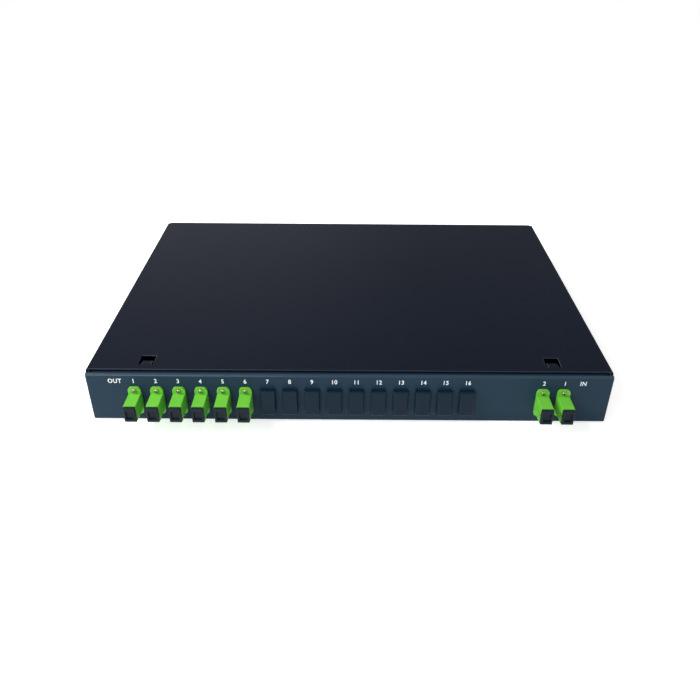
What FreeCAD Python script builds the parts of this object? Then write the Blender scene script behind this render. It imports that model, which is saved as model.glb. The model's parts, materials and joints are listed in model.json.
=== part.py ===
import FreeCAD
import Part
import Sketcher

import math
import os
import re

# A 1U optical splitter chassis: a folded steel tray and lid, a front panel punched for
# eighteen SC adapters, eight of them fitted and dust-capped, and the splitter modules,
# pigtails and slack coil inside.
#
# Frame, in millimetres: +X across the front panel to the viewer's right, +Y from the
# front panel to the rear, +Z up. The origin is the middle of the footprint, on the floor.

SIZES = {
    # folded sheet
    "width": (390, "front panel and lid, across"),
    "depth": (285, "front panel to rear lip"),
    "height": (44.45, "one rack unit"),
    "sheet": (1.2, "steel sheet thickness"),
    "bend": (1, "inside radius of every fold"),
    "relief": (0.8, "clearance left beside a fold at a corner"),
    "lid_fit": (0.2, "gap between lid and tray"),
    "front_gap": (1.4, "shadow gap between the lid and the front panel's return"),
    "front_lip": (9, "return fold along the top of the front panel"),
    "lid_lip": (12, "fold down the rear of the lid"),
    "lid_skirt_gap": (1.5, "lid side walls stop this far above the floor"),
    # lanced tabs in the lid
    "tab_inset": (43, "tab centre from the lid's side"),
    "tab_setback": (6.5, "window's near edge behind the lid's front edge"),
    "window_width": (11, "window the tab is lanced from"),
    "window_length": (12, "window, front to rear"),
    "tab_width": (8, "tab"),
    "tab_reach": (7.5, "tab, from the window's near edge"),
    "tab_drop": (1.6, "tab's free end below the lid"),
    # port positions
    "port_level": (19.2, "centre of the ports above the floor"),
    "out_inset": (35, "first output port from the panel's left end"),
    "out_pitch": (16.5, "output ports, apart"),
    "out_count": (16, "output positions punched"),
    "out_fitted_count": (6, "output positions with an adapter"),
    "in_inset": (35.5, "first input port from the panel's right end"),
    "in_pitch": (15.5, "input ports, apart"),
    "in_count": (2, "input positions punched"),
    "cutout_width": (9.6, "panel cut-out"),
    "cutout_height": (13.2, "panel cut-out"),
    # adapter housing
    "flange_width": (9.4, "adapter flange"),
    "flange_height": (24, "adapter flange"),
    "flange_thickness": (1.8, "adapter flange"),
    "flange_corner": (1.7, "chamfer of the flange's corners"),
    "flange_hole_radius": (1.1, "screw hole in a flange lobe"),
    "adapter_width": (9.3, "housing body"),
    "adapter_height": (12.9, "housing body"),
    "adapter_front": (17.4, "mouth in front of the panel"),
    "adapter_rear": (13.3, "rear mouth behind the panel's face"),
    "adapter_edge": (0.4, "chamfer of the body's long edges"),
    "mouth_width": (7.5, "receptacle"),
    "mouth_height": (9.1, "receptacle"),
    "key_width": (2.3, "key slot in the receptacle's left wall"),
    "key_length": (5.5, "key slot, from the mouth"),
    # latch insert and sleeve
    "insert_fit": (0.05, "insert plate inside the housing"),
    "insert_plate": (1.6, "plate across the housing's middle"),
    "holder_radius": (2.3, "tube round the sleeve"),
    "holder_length": (13, "tube round the sleeve"),
    "arm_width": (2.4, "latch arm"),
    "arm_thickness": (0.7, "latch arm"),
    "arm_level": (3, "latch arm's inner face from the axis"),
    "arm_span": (15, "latch arms, tip to tip"),
    "hook_rise": (0.6, "latch hook, inward"),
    "hook_length": (1.2, "latch hook, along the arm"),
    "sleeve_radius": (1.6, "split sleeve, outside"),
    "sleeve_length": (11.4, "split sleeve"),
    "sleeve_slit": (0.5, "split sleeve's slit"),
    "sleeve_fit": (0.05, "sleeve in its holder"),
    "ferrule_radius": (1.25, "connector ferrule"),
    "ferrule_fit": (0.02, "ferrule in the sleeve"),
    # dust cap
    "cap_head_width": (8.8, "dust cap head"),
    "cap_head_height": (12.2, "dust cap head"),
    "cap_head": (2.6, "dust cap head, front to back"),
    "cap_recess": (1.4, "shallow recess in the dust cap's face"),
    "cap_gap": (0.1, "head to mouth"),
    "cap_fit": (0.1, "skirt to receptacle, each side"),
    "cap_depth": (6.5, "skirt inside the mouth"),
    "cap_wall": (0.8, "dust cap wall"),
    "cap_edge": (0.4, "chamfer of the head's front"),
    # pigtail connector
    "plug_fit": (0.06, "connector in the rear mouth, each side"),
    "plug_end": (12, "connector behind the rear mouth"),
    "plug_pocket_width": (5.8, "connector's open front"),
    "plug_pocket_height": (7.9, "connector's open front"),
    "plug_pocket_depth": (8, "connector's open front"),
    "plug_clear": (0.4, "connector to insert plate"),
    "plug_key_height": (0.7, "connector's key"),
    "plug_key_width": (2, "connector's key"),
    "boot_root_radius": (2.6, "strain boot at the connector"),
    "boot_tip_radius": (1.1, "strain boot at the fibre"),
    "boot_length": (20, "strain boot"),
    # blank plate
    "blank_width": (11, "blank plate"),
    "blank_height": (21.6, "blank plate"),
    "blank_proud": (4.6, "blank plate's face in front of the panel"),
    "blank_wall": (1.4, "blank plate's wall"),
    "blank_edge": (0.8, "chamfer of the plate's front"),
    "leg_width": (6, "snap leg"),
    "leg_thickness": (1.2, "snap leg"),
    "leg_reach": (4.5, "snap leg behind the panel"),
    "leg_fit": (0.1, "snap leg in the cut-out"),
    "barb": (0.7, "snap leg's barb"),
    # screws
    "port_screw_spacing": (18, "adapter screws, apart"),
    "port_screw_radius": (0.95, "adapter screw shank"),
    "port_screw_head_radius": (1.75, "adapter screw head"),
    "port_screw_head": (1.1, "adapter screw head, thick"),
    "port_screw_length": (5, "adapter screw under its head"),
    "lid_screw_radius": (1.45, "lid screw shank"),
    "lid_screw_head_radius": (2.8, "lid screw head"),
    "lid_screw_head": (1.8, "lid screw head, thick"),
    "lid_screw_length": (6, "lid screw under its head"),
    "tapped_fit": (0.05, "shank in a tapped hole"),
    "clear_fit": (0.2, "shank in a clearance hole"),
    "recess_reach": (0.55, "cross recess, half its length over the head's radius"),
    "recess_slot": (0.13, "cross recess, half its slot over the head's radius"),
    "lid_screw_front": (90, "front side screw behind the panel"),
    "lid_screw_rear": (30, "rear side screw before the rear"),
    "lid_screw_level": (9, "side and rear screws below the lid's top"),
    "lid_screw_spread": (240, "rear screws, apart"),
    "ear_hole_radius": (2.15, "ear fixing hole"),
    "ear_hole_spacing": (20, "ear fixing holes, apart"),
    "ear_hole_setback": (20, "ear fixing holes behind the panel"),
    # splitter modules on their cradle
    "module_length": (60, "splitter module"),
    "module_width": (7, "splitter module"),
    "module_height": (4, "splitter module"),
    "module_edge": (0.8, "chamfer of the module's long edges"),
    "cradle_length": (44, "module cradle"),
    "cradle_wall": (2, "module cradle"),
    "cradle_floor": (1.6, "module cradle"),
    "cradle_rib": (4.5, "module cradle's walls"),
    "cradle_setback": (110, "module cradle's middle behind the panel"),
    "module_fit": (0.1, "module in its cradle"),
    # slack coil and its saddles
    "coil_radius": (50, "slack coil, to the middle of its bundle"),
    "coil_bundle": (5, "slack coil's bundle, across"),
    "coil_rear": (80, "slack coil's centre in front of the rear"),
    "coil_fit": (0.1, "coil in its saddles"),
    "saddle_wall": (1, "saddle"),
    "saddle_width": (8, "saddle, along the coil"),
    "saddle_lip": (2.5, "saddle's lip over the coil"),
    "saddle_count": (4, "saddles round the coil"),
    # fibres
    "fibre_radius": (0.45, "pigtail buffer"),
    "loom_radius": (1, "tube round a module's output fibres"),
    "fibre_run": (32, "pigtail straight behind its boot"),
    "lead_run": (34, "module lead straight from its module"),
    "fibre_rise": (1.2, "pigtails join above the coil's middle, leads below"),
}

doc = FreeCAD.newDocument("splitter_chassis")


def make_sheet():
    sheet = doc.addObject("Spreadsheet::Sheet", "sizes")
    for row, (alias, (number, note)) in enumerate(SIZES.items(), start=1):
        sheet.set(f"A{row}", alias)
        sheet.set(f"B{row}", str(number))
        sheet.set(f"C{row}", note)
        sheet.setAlias(f"B{row}", alias)
    doc.recompute()
    return sheet


sizes = make_sheet()


def bound(text):
    """An expression in which each size's name points at its cell."""
    return re.sub(r"[a-z_]+", lambda m: f"sizes.{m[0]}" if m[0] in SIZES else m[0], text)


def number(text):
    """The value that an expression has now."""
    return float(sizes.evalExpression(bound(text)))


class Piece:
    """One PartDesign body, with the few steps that the pieces here are made of."""

    def __init__(self, label):
        self.body = doc.addObject("PartDesign::Body", label)
        self.body.Label = label

    def place(self, x, y, z):
        for axis, text in zip("xyz", (x, y, z)):
            self.body.setExpression(f"Placement.Base.{axis}", bound(text))
        return self

    def sketch(self, role, lift="0"):
        """A sketch on an origin plane, lifted along that plane's normal."""
        plane = next(f for f in self.body.Origin.OriginFeatures if f.Role == role)
        sketch = self.body.newObject("Sketcher::SketchObject", "outline")
        sketch.AttachmentSupport = (plane, [""])
        sketch.MapMode = "FlatFace"
        sketch.setExpression("AttachmentOffset.Base.z", bound(lift))
        return sketch

    def feature(self, kind, sketch, length, **settings):
        made = self.body.newObject(f"PartDesign::{kind}", kind.lower())
        made.Profile = sketch
        if length:
            made.setExpression("Length", bound(length))
        else:
            made.Type = "ThroughAll"
        for name, setting in settings.items():
            setattr(made, name, setting)
        sketch.Visibility = False
        doc.recompute()
        return made

    def pad(self, sketch, length, **settings):
        return self.feature("Pad", sketch, length, **settings)

    def pocket(self, sketch, length="", **settings):
        return self.feature("Pocket", sketch, length, **settings)

    def row(self, cut, sketch, count, pitch, backwards=False):
        """A cut repeated along the sketch's horizontal axis."""
        made = self.body.newObject("PartDesign::LinearPattern", "row")
        made.Originals = [cut]
        made.Direction = (sketch, ["H_Axis"])
        made.Reversed = backwards
        made.setExpression("Occurrences", bound(count))
        made.setExpression("Length", bound(f"({count} - 1)*{pitch}"))
        self.body.Tip = made
        doc.recompute()
        return made

    def edges(self, *places):
        """Names of the straight edges whose ends share the two given coordinates."""
        shape = self.body.Tip.Shape
        named = []
        for first, second in places:
            spot = {axis: number(text) for axis, text in (first, second)}
            for count, edge in enumerate(shape.Edges, start=1):
                ends = [vertex.Point for vertex in edge.Vertexes]
                if all(abs(getattr(p, a) - v) < 1e-4 for p in ends for a, v in spot.items()):
                    named.append(f"Edge{count}")
        return named

    def soften(self, kind, size, *places):
        """A Fillet or Chamfer of one size along the edges at those places."""
        tip = self.body.Tip
        names = self.edges(*places)
        made = self.body.newObject(f"PartDesign::{kind}", kind.lower())
        made.Base = (tip, names)
        made.setExpression("Radius" if kind == "Fillet" else "Size", bound(size))
        doc.recompute()
        return made


def polygon(sketch, corners):
    """A closed outline. Each corner is a pair of expressions, in the sketch's axes."""
    first = sketch.GeometryCount
    texts = [(bound(across), bound(up)) for across, up in corners]
    points = [
        FreeCAD.Vector(float(sizes.evalExpression(a)), float(sizes.evalExpression(u)), 0)
        for a, u in texts
    ]
    total = len(points)
    for index in range(total):
        ends = points[index], points[(index + 1) % total]
        sketch.addGeometry(Part.LineSegment(*ends), False)
    for index in range(total):
        here, after = first + index, first + (index + 1) % total
        sketch.addConstraint(Sketcher.Constraint("Coincident", here, 2, after, 1))
    for index, (text, point) in enumerate(zip(texts, points)):
        for kind, expression, distance in zip(("DistanceX", "DistanceY"), text, point):
            pinned = Sketcher.Constraint(kind, -1, 1, first + index, 1, distance)
            constraint = sketch.addConstraint(pinned)
            sketch.setExpression(f"Constraints[{constraint}]", expression)


def rectangle(sketch, across, up, width, height):
    """A rectangle round the point (across, up)."""
    left, right = f"({across}) - ({width})/2", f"({across}) + ({width})/2"
    low, high = f"({up}) - ({height})/2", f"({up}) + ({height})/2"
    polygon(sketch, [(left, low), (right, low), (right, high), (left, high)])


def many_sided(sketch, sides, across, up, radius):
    """A regular outline round a circle of that radius, for round shapes that stay hidden."""
    corners = []
    for index in range(sides):
        angle = math.pi * (2 * index + 1) / sides
        reach = 1 / math.cos(math.pi / sides)
        corners.append((
            f"{across} + ({radius})*({reach * math.cos(angle):.6f})",
            f"{up} + ({radius})*({reach * math.sin(angle):.6f})",
        ))
    polygon(sketch, corners)


def circle(sketch, across, up, radius):
    centre = FreeCAD.Vector(number(across), number(up), 0)
    up_axis = FreeCAD.Vector(0, 0, 1)
    added = sketch.addGeometry(Part.Circle(centre, up_axis, number(radius)), False)
    pins = (
        ("DistanceX", (-1, 1, added, 3, centre.x), across),
        ("DistanceY", (-1, 1, added, 3, centre.y), up),
        ("Radius", (added, number(radius)), radius),
    )
    for kind, terms, text in pins:
        constraint = sketch.addConstraint(Sketcher.Constraint(kind, *terms))
        sketch.setExpression(f"Constraints[{constraint}]", bound(text))


# Places that several pieces share

FRONT = "-depth/2"
REAR = "depth/2 - sheet - lid_fit"
OUTER_BEND = "(bend + sheet)"
FRONT_LEG = "(bend + sheet + relief)"
PANEL_TOP = "(height - sheet - front_gap)"
SIDE_TOP = "(height - sheet - bend)"
TRAY_SIDE = "(width/2 - sheet - lid_fit)"
TRAY_ROOT = "(width/2 - sheet - lid_fit - bend - sheet - relief)"
LID_FRONT = "(-depth/2 + bend + sheet + relief + lid_fit)"
FIRST_OUT = "(-width/2 + out_inset)"
FIRST_IN = "(width/2 - in_inset)"
ADAPTER_MIDDLE = "(adapter_rear - adapter_front)/2"
SCREW_LINE = "(height - lid_screw_level)"
SIDE_SCREWS = ("-depth/2 + lid_screw_front", "depth/2 - lid_screw_rear")
REAR_SCREWS = ("-lid_screw_spread/2", "lid_screw_spread/2")
COIL_SIDES = 28


def port_places():
    """Each punched position as (name, across, fitted)."""
    places = []
    for index in range(round(number("out_count"))):
        across = f"{FIRST_OUT} + {index}*out_pitch"
        places.append((f"out_{index + 1}", across, index < number("out_fitted_count")))
    for index in range(round(number("in_count"))):
        places.append((f"in_{index + 1}", f"{FIRST_IN} - {index}*in_pitch", True))
    return places


def make_tray():
    tray = Piece("base_tray")

    ends = tray.sketch("YZ_Plane")
    leg = f"-depth/2 + {FRONT_LEG}"
    polygon(ends, [
        (FRONT, "0"), (leg, "0"), (leg, "sheet"), ("-depth/2 + sheet", "sheet"),
        ("-depth/2 + sheet", f"{PANEL_TOP} - sheet"), (leg, f"{PANEL_TOP} - sheet"),
        (leg, PANEL_TOP), (FRONT, PANEL_TOP),
    ])
    tray.pad(ends, "width", SideType="Symmetric")

    channel = tray.sketch("YZ_Plane")
    lip = "-depth/2 + front_lip"
    polygon(channel, [
        (FRONT, "0"), (REAR, "0"), (REAR, SIDE_TOP), (f"{REAR} - sheet", SIDE_TOP),
        (f"{REAR} - sheet", "sheet"), ("-depth/2 + sheet", "sheet"),
        ("-depth/2 + sheet", f"{PANEL_TOP} - sheet"), (lip, f"{PANEL_TOP} - sheet"),
        (lip, PANEL_TOP), (FRONT, PANEL_TOP),
    ])
    tray.pad(channel, f"2*{TRAY_ROOT}", SideType="Symmetric")

    rear = tray.sketch("YZ_Plane")
    low = f"{OUTER_BEND} + relief"
    polygon(rear, [
        (f"{REAR} - sheet", low), (REAR, low), (REAR, SIDE_TOP), (f"{REAR} - sheet", SIDE_TOP),
    ])
    tray.pad(rear, f"2*{TRAY_SIDE}", SideType="Symmetric")

    walls = tray.sketch("XZ_Plane", f"depth/2 - {FRONT_LEG} - relief")
    for side in ("", "-"):
        root = f"{side}{TRAY_ROOT}"
        inner, outer = f"{side}({TRAY_SIDE} - sheet)", f"{side}{TRAY_SIDE}"
        polygon(walls, [
            (root, "0"), (outer, "0"), (outer, SIDE_TOP), (inner, SIDE_TOP),
            (inner, "sheet"), (root, "sheet"),
        ])
    length = f"{REAR} - {OUTER_BEND} - relief - (-depth/2 + {FRONT_LEG} + relief)"
    tray.pad(walls, length, Reversed=True)

    tray.soften(
        "Fillet", "bend + sheet",
        (("y", FRONT), ("z", "0")), (("y", FRONT), ("z", PANEL_TOP)),
        (("y", REAR), ("z", "0")),
        (("x", TRAY_SIDE), ("z", "0")), (("x", f"-{TRAY_SIDE}"), ("z", "0")),
    )
    tray.soften(
        "Fillet", "bend",
        (("y", "-depth/2 + sheet"), ("z", "sheet")),
        (("y", "-depth/2 + sheet"), ("z", f"{PANEL_TOP} - sheet")),
        (("y", f"{REAR} - sheet"), ("z", "sheet")),
        (("x", f"{TRAY_SIDE} - sheet"), ("z", "sheet")),
        (("x", f"-({TRAY_SIDE} - sheet)"), ("z", "sheet")),
    )

    punch_ports(tray, FIRST_OUT, "out_count", "out_pitch")
    punch_screws(tray, FIRST_OUT, "out_fitted_count", "out_pitch")
    punch_ports(tray, FIRST_IN, "in_count", "in_pitch", backwards=True)
    punch_screws(tray, FIRST_IN, "in_count", "in_pitch", backwards=True)
    drill_sides(tray, "lid_screw_radius + tapped_fit")
    drill_rear(tray, "lid_screw_radius + tapped_fit")
    return tray


def punch_ports(tray, across, count, pitch, backwards=False):
    cut = tray.sketch("XZ_Plane", "depth/2")
    rectangle(cut, across, "port_level", "cutout_width", "cutout_height")
    hole = tray.pocket(cut, "sheet*1.5")
    tray.row(hole, cut, count, pitch, backwards)


def punch_screws(tray, across, count, pitch, backwards=False):
    cut = tray.sketch("XZ_Plane", "depth/2")
    for side in "+-":
        level = f"port_level {side} port_screw_spacing/2"
        many_sided(cut, 8, across, level, "port_screw_radius + tapped_fit")
    hole = tray.pocket(cut, "sheet*1.5")
    tray.row(hole, cut, count, pitch, backwards)


def drill_sides(piece, screw_hole):
    """Holes through both side walls, for the lid screws and for rack ears."""
    cut = piece.sketch("YZ_Plane")
    for along in SIDE_SCREWS:
        many_sided(cut, 8, along, SCREW_LINE, screw_hole)
    for side in "+-":
        level = f"height/2 {side} ear_hole_spacing/2"
        circle(cut, "-depth/2 + ear_hole_setback", level, "ear_hole_radius")
    piece.pocket(cut, "", SideType="Symmetric")


def drill_rear(piece, screw_hole):
    cut = piece.sketch("XZ_Plane", "-depth/2")
    for across in REAR_SCREWS:
        many_sided(cut, 8, across, SCREW_LINE, screw_hole)
    piece.pocket(cut, "sheet*3", Reversed=True)


def make_lid():
    lid = Piece("top_cover")
    rear_fold = f"(depth/2 - {OUTER_BEND} - relief)"

    section = lid.sketch("XZ_Plane", f"-{LID_FRONT}")
    polygon(section, [
        ("-width/2", "lid_skirt_gap"), ("-width/2", "height"), ("width/2", "height"),
        ("width/2", "lid_skirt_gap"), ("width/2 - sheet", "lid_skirt_gap"),
        ("width/2 - sheet", "height - sheet"), ("-width/2 + sheet", "height - sheet"),
        ("-width/2 + sheet", "lid_skirt_gap"),
    ])
    lid.pad(section, f"{rear_fold} - {LID_FRONT}", Reversed=True)

    lip = lid.sketch("YZ_Plane")
    polygon(lip, [
        (rear_fold, "height"), ("depth/2", "height"), ("depth/2", "height - lid_lip"),
        ("depth/2 - sheet", "height - lid_lip"), ("depth/2 - sheet", "height - sheet"),
        (rear_fold, "height - sheet"),
    ])
    lid.pad(lip, f"width - 2*{FRONT_LEG}", SideType="Symmetric")

    sides = lid.sketch("XZ_Plane", f"-{rear_fold}")
    middle, tall = f"(height - {OUTER_BEND} - relief + lid_skirt_gap)/2", (
        f"height - {OUTER_BEND} - relief - lid_skirt_gap"
    )
    for side in "+-":
        rectangle(sides, f"{side}(width/2 - sheet/2)", middle, "sheet", tall)
    lid.pad(sides, f"depth/2 - {rear_fold}", Reversed=True)

    lid.soften(
        "Fillet", "bend + sheet",
        (("x", "width/2"), ("z", "height")), (("x", "-width/2"), ("z", "height")),
        (("y", "depth/2"), ("z", "height")),
    )
    lid.soften(
        "Fillet", "bend",
        (("x", "width/2 - sheet"), ("z", "height - sheet")),
        (("x", "-width/2 + sheet"), ("z", "height - sheet")),
        (("y", "depth/2 - sheet"), ("z", "height - sheet")),
    )
    lance_tabs(lid)
    drill_sides(lid, "lid_screw_radius + clear_fit")
    drill_rear(lid, "lid_screw_radius + clear_fit")
    return lid


def lance_tabs(lid):
    """Two windows behind the lid's front edge, each with a tab folded down into it."""
    near = f"({LID_FRONT} + tab_setback)"
    windows = lid.sketch("XY_Plane", "height")
    for side in "+-":
        across = f"{side}(width/2 - tab_inset)"
        rectangle(windows, across, f"{near} + window_length/2", "window_width", "window_length")
    lid.pocket(windows, "sheet*1.5")

    for side in "+-":
        tab = lid.sketch("YZ_Plane", f"{side}(width/2 - tab_inset) - tab_width/2")
        tip = f"{near} + tab_reach"
        polygon(tab, [
            (f"{near} - sheet/2", "height"), (near, "height"),
            (tip, "height - tab_drop"), (tip, "height - tab_drop - sheet"),
            (near, "height - sheet"), (f"{near} - sheet/2", "height - sheet"),
        ])
        lid.pad(tab, "tab_width")


def make_adapter(name, across):
    adapter = Piece(f"adapter_{name}").place(across, FRONT, "port_level")

    flange = adapter.sketch("XZ_Plane")
    wide, tall, cut = "flange_width/2", "flange_height/2", "flange_corner"
    polygon(flange, [
        (f"-{wide}", f"-{tall} + {cut}"), (f"-{wide} + {cut}", f"-{tall}"),
        (f"{wide} - {cut}", f"-{tall}"), (wide, f"-{tall} + {cut}"),
        (wide, f"{tall} - {cut}"), (f"{wide} - {cut}", tall),
        (f"-{wide} + {cut}", tall), (f"-{wide}", f"{tall} - {cut}"),
    ])
    adapter.pad(flange, "flange_thickness")

    body = adapter.sketch("XZ_Plane", "adapter_front")
    rectangle(body, "0", "0", "adapter_width", "adapter_height")
    adapter.pad(body, "adapter_front + adapter_rear", Reversed=True)

    wide, tall = "adapter_width/2", "adapter_height/2"
    adapter.soften("Chamfer", "adapter_edge", *(
        (("x", f"{a}{wide}"), ("z", f"{b}{tall}")) for a in ("", "-") for b in ("", "-")
    ))

    mouth = adapter.sketch("XZ_Plane", "adapter_front")
    rectangle(mouth, "0", "0", "mouth_width", "mouth_height")
    adapter.pocket(mouth, "adapter_front + adapter_rear")

    wall = "(adapter_width - mouth_width)/2"
    for end, flip in (("adapter_front", False), ("-adapter_rear", True)):
        key = adapter.sketch("XZ_Plane", end)
        rectangle(key, f"-adapter_width/2 + {wall}/2", "0", f"{wall}*1.5", "key_width")
        adapter.pocket(key, "key_length", Reversed=flip)

    holes = adapter.sketch("XZ_Plane", "flange_thickness")
    for side in "+-":
        many_sided(holes, 8, "0", f"{side}port_screw_spacing/2", "flange_hole_radius")
    adapter.pocket(holes, "flange_thickness*1.5")
    return adapter


def make_insert(name, across):
    """The plate, sleeve holder and latch arms that are welded into a housing."""
    insert = Piece(f"latch_insert_{name}").place(across, FRONT, "port_level")
    middle = f"-({ADAPTER_MIDDLE})"

    plate = insert.sketch("XZ_Plane", middle)
    rectangle(plate, "0", "0", "mouth_width - 2*insert_fit", "mouth_height - 2*insert_fit")
    insert.pad(plate, "insert_plate", SideType="Symmetric")

    holder = insert.sketch("XZ_Plane", middle)
    many_sided(holder, 8, "0", "0", "holder_radius")
    insert.pad(holder, "holder_length", SideType="Symmetric")

    arms = insert.sketch("YZ_Plane")
    near, far = f"{ADAPTER_MIDDLE} - arm_span/2", f"{ADAPTER_MIDDLE} + arm_span/2"
    for side in ("", "-"):
        outer = f"{side}(arm_level + arm_thickness)"
        inner, hook = f"{side}arm_level", f"{side}(arm_level - hook_rise)"
        polygon(arms, [
            (near, outer), (near, hook), (f"{near} + hook_length", inner),
            (f"{far} - hook_length", inner), (far, hook), (far, outer),
        ])
    insert.pad(arms, "arm_width", SideType="Symmetric")

    bore = insert.sketch("XZ_Plane", middle)
    many_sided(bore, 8, "0", "0", "sleeve_radius + sleeve_fit")
    insert.pocket(bore, "", SideType="Symmetric")
    return insert


def make_cap(name, across):
    cap = Piece(f"dust_cap_{name}").place(across, FRONT, "port_level")
    seat = "(adapter_front + cap_gap)"

    head = cap.sketch("XZ_Plane", seat)
    rectangle(head, "0", "0", "cap_head_width", "cap_head_height")
    cap.pad(head, "cap_head")
    wide, tall = "cap_head_width/2", "cap_head_height/2"
    front = f"-({seat} + cap_head)"
    cap.soften(
        "Chamfer", "cap_edge",
        (("y", front), ("x", wide)), (("y", front), ("x", f"-{wide}")),
        (("y", front), ("z", tall)), (("y", front), ("z", f"-{tall}")),
    )

    skirt = cap.sketch("XZ_Plane", seat)
    rectangle(skirt, "0", "0", "mouth_width - 2*cap_fit", "mouth_height - 2*cap_fit")
    cap.pad(skirt, "cap_gap + cap_depth", Reversed=True)

    narrow = "2*(cap_fit + cap_wall)"
    for face, depth, flip in (
        (f"{seat} + cap_head", "cap_recess", False),
        ("adapter_front - cap_depth", "cap_depth + cap_gap", True),
    ):
        hollow = cap.sketch("XZ_Plane", face)
        rectangle(hollow, "0", "0", f"mouth_width - {narrow}", f"mouth_height - {narrow}")
        cap.pocket(hollow, depth, Reversed=flip)
    return cap


def make_plug(name, across):
    """The connector on a pigtail's end, from the insert's plate to the boot."""
    plug = Piece(f"plug_{name}").place(across, FRONT, "port_level")
    nose = f"({ADAPTER_MIDDLE} + insert_plate/2 + plug_clear)"
    tail = "(adapter_rear + plug_end)"

    housing = plug.sketch("XZ_Plane", f"-{nose}")
    rectangle(housing, "0", "0", "mouth_width - 2*plug_fit", "mouth_height - 2*plug_fit")
    plug.pad(housing, f"{tail} - {nose}", Reversed=True)

    pocket = plug.sketch("XZ_Plane", f"-{nose}")
    rectangle(pocket, "0", "0", "plug_pocket_width", "plug_pocket_height")
    plug.pocket(pocket, "plug_pocket_depth")

    ferrule = plug.sketch("XZ_Plane", f"-({ADAPTER_MIDDLE})")
    many_sided(ferrule, 8, "0", "0", "ferrule_radius")
    plug.pad(ferrule, f"{nose} + plug_pocket_depth + sheet - ({ADAPTER_MIDDLE})", Reversed=True)

    key = plug.sketch("XZ_Plane", "-(adapter_rear - key_length + plug_clear)")
    rib = "plug_key_height + plug_fit"
    rectangle(key, f"-mouth_width/2 + plug_fit - ({rib})/2 + plug_fit", "0", rib, "plug_key_width")
    plug.pad(key, "key_length", Reversed=True)
    return plug


def make_blank(index, across):
    blank = Piece(f"blank_{index}").place(across, FRONT, "port_level")

    plate = blank.sketch("XZ_Plane")
    rectangle(plate, "0", "0", "blank_width", "blank_height")
    blank.pad(plate, "blank_proud")
    wide, tall = "blank_width/2", "blank_height/2"
    blank.soften(
        "Chamfer", "blank_edge",
        (("y", "-blank_proud"), ("x", wide)), (("y", "-blank_proud"), ("x", f"-{wide}")),
        (("y", "-blank_proud"), ("z", tall)), (("y", "-blank_proud"), ("z", f"-{tall}")),
    )

    hollow = blank.sketch("XZ_Plane")
    rectangle(hollow, "0", "0", "blank_width - 2*blank_wall", "blank_height - 2*blank_wall")
    blank.pocket(hollow, "blank_proud - blank_wall", Reversed=True)

    legs = blank.sketch("YZ_Plane")
    outer = "(cutout_height/2 - leg_fit)"
    inner = f"({outer} - leg_thickness)"
    behind = "(sheet + leg_fit)"
    for side in ("", "-"):
        polygon(legs, [
            ("-blank_proud + blank_wall/2", f"{side}{inner}"), ("leg_reach", f"{side}{inner}"),
            ("leg_reach", f"{side}{outer}"), (behind, f"{side}({outer} + barb)"),
            (behind, f"{side}{outer}"), ("-blank_proud + blank_wall/2", f"{side}{outer}"),
        ])
    blank.pad(legs, "leg_width", SideType="Symmetric")
    return blank


def make_module(name, side):
    """A splitter chip in its square steel tube."""
    floor = "sheet + cradle_floor"
    middle = f"{side}(module_width + cradle_wall)/2 - depth/2 + cradle_setback"
    module = Piece(f"splitter_{name}").place("0", middle, f"{floor} + module_height/2")
    section = module.sketch("YZ_Plane", "-module_length/2")
    wide, tall, cut = "module_width/2", "module_height/2", "module_edge"
    polygon(section, [
        (f"-{wide} + {cut}", f"-{tall}"), (f"{wide} - {cut}", f"-{tall}"),
        (wide, f"-{tall} + {cut}"), (wide, f"{tall} - {cut}"),
        (f"{wide} - {cut}", tall), (f"-{wide} + {cut}", tall),
        (f"-{wide}", f"{tall} - {cut}"), (f"-{wide}", f"-{tall} + {cut}"),
    ])
    module.pad(section, "module_length")
    return module


def make_cradle():
    cradle = Piece("module_cradle").place("0", "-depth/2 + cradle_setback", "sheet")
    slot = "(module_width - 2*module_fit)"
    half = "(module_width + cradle_wall*1.5)"
    low, high = "cradle_floor", "cradle_floor + cradle_rib"
    near, far = "(cradle_wall/2 - module_fit)", "(cradle_wall/2 + module_width + module_fit)"
    section = cradle.sketch("YZ_Plane", "-cradle_length/2")
    polygon(section, [
        (f"-{half}", "0"), (half, "0"), (half, high), (far, high), (far, low), (near, low),
        (near, high), (f"-{near}", high), (f"-{near}", low), (f"-{far}", low),
        (f"-{far}", high), (f"-{half}", high),
    ])
    cradle.pad(section, "cradle_length")
    return cradle


def make_coil():
    """The slack of every fibre, tied into one ring with a flat at each saddle."""
    level = "sheet + saddle_wall + coil_fit"
    coil = Piece("fibre_coil").place("0", "depth/2 - coil_rear", level)
    ring = coil.sketch("XY_Plane")
    for side in "+-":
        many_sided(ring, COIL_SIDES, "0", "0", f"coil_radius {side} coil_bundle/2")
    coil.pad(ring, "coil_bundle")
    return coil


def group(label, solid, placements):
    """One node that holds a solid once at each placement."""
    node = doc.addObject("Part::Feature", label)
    copies = []
    for placement in placements:
        copy = solid.copy()
        copy.Placement = placement.multiply(copy.Placement)
        copies.append(copy)
    node.Shape = Part.makeCompound(copies)
    node.Label = label
    return node


def at(x, y, z, axis_to=(0, 0, 1)):
    """A placement at a point, with +Z turned to a direction."""
    point = FreeCAD.Vector(number(x), number(y), number(z))
    turn = FreeCAD.Rotation(FreeCAD.Vector(0, 0, 1), FreeCAD.Vector(*axis_to))
    return FreeCAD.Placement(point, turn)


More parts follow.
